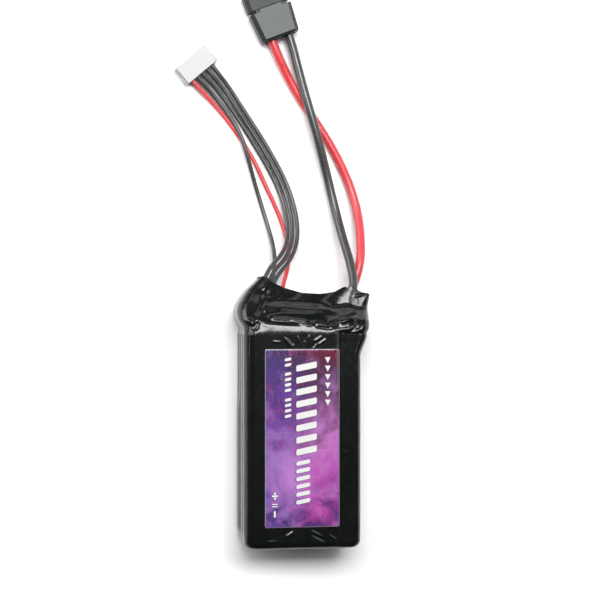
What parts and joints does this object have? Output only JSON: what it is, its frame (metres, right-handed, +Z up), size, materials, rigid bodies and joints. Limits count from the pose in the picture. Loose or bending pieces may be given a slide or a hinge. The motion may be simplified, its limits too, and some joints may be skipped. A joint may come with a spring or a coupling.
{
  "type": "lipo battery pack",
  "caption": "Flat cell pack in a glossy shrink sleeve with a flattened end, two heavy leads to a two-pole power plug and a thin balance harness to a small white plug.",
  "frame": {"origin": "Middle of the footprint of the pack itself, without its leads and plugs, on the surface that it lies on.", "axes": "+Y runs along the pack towards the lead end, +Z up out of the labelled face, +X to the right as the label is seen from above with the leads at the top."},
  "size_m": [0.0762, 0.2311, 0.0305],
  "materials": {
    "sleeve_film": "thin glossy black shrink film, creased at the lead end",
    "label_print": "laminated print in purple and pink clouds with white marks",
    "guard_plate": "thin stiff fibre-filled sheet",
    "cell_pouch": "satin laminated aluminium foil pouch",
    "foam_tape": "closed-cell foam tape",
    "tab_aluminium": "plain rolled strip",
    "tab_nickel": "nickel-plated strip",
    "board_laminate": "glass-fibre laminate with green mask",
    "pad_copper": "tinned copper areas",
    "solder": "smooth solder",
    "barrier_paper": "waxed insulating paper",
    "lead_black": "soft silicone insulation with a low sheen",
    "lead_red": "soft silicone insulation with a low sheen",
    "plug_nylon": "dark grey fine-textured nylon",
    "cover_nylon": "mid grey moulded nylon",
    "contact_gold": "gold-plated",
    "contact_sleeve": "small shrink sleeves",
    "balance_nylon": "slightly translucent white nylon",
    "contact_tin": "tin-plated phosphor bronze"
  },
  "bodies": {
    "pack": {"shrink_sleeve": "sleeve_film", "front_label": "label_print", "front_plate": "guard_plate", "back_plate": "guard_plate", "cell_1": "cell_pouch", "cell_2": "cell_pouch", "cell_3": "cell_pouch", "cell_4": "cell_pouch", "cell_tape": "foam_tape", "base_pad": "foam_tape", "positive_tabs": "tab_aluminium", "negative_tabs": "tab_nickel", "tab_board": "board_laminate", "board_pads": "pad_copper", "tab_solder": "solder", "insulating_sheet": "barrier_paper", "main_lead_negative": "lead_black", "main_lead_positive": "lead_red", "balance_lead_1": "lead_red", "balance_lead_2": "lead_black", "balance_lead_3": "lead_black", "balance_lead_4": "lead_black", "balance_lead_5": "lead_black", "power_plug_body": "plug_nylon", "power_contact_positive": "contact_gold", "power_contact_negative": "contact_gold", "cup_solder": "solder", "contact_sleeves": "contact_sleeve", "balance_housing": "balance_nylon", "balance_contacts": "contact_tin"},
    "cover": {"plug_cover": "cover_nylon"}
  },
  "joints": [
    {"name": "cover_slide", "type": "slide", "parent": "pack", "child": "cover", "axis": [0.3665, -0.9304, 0], "range_m": [0, 0.005]}
  ]
}
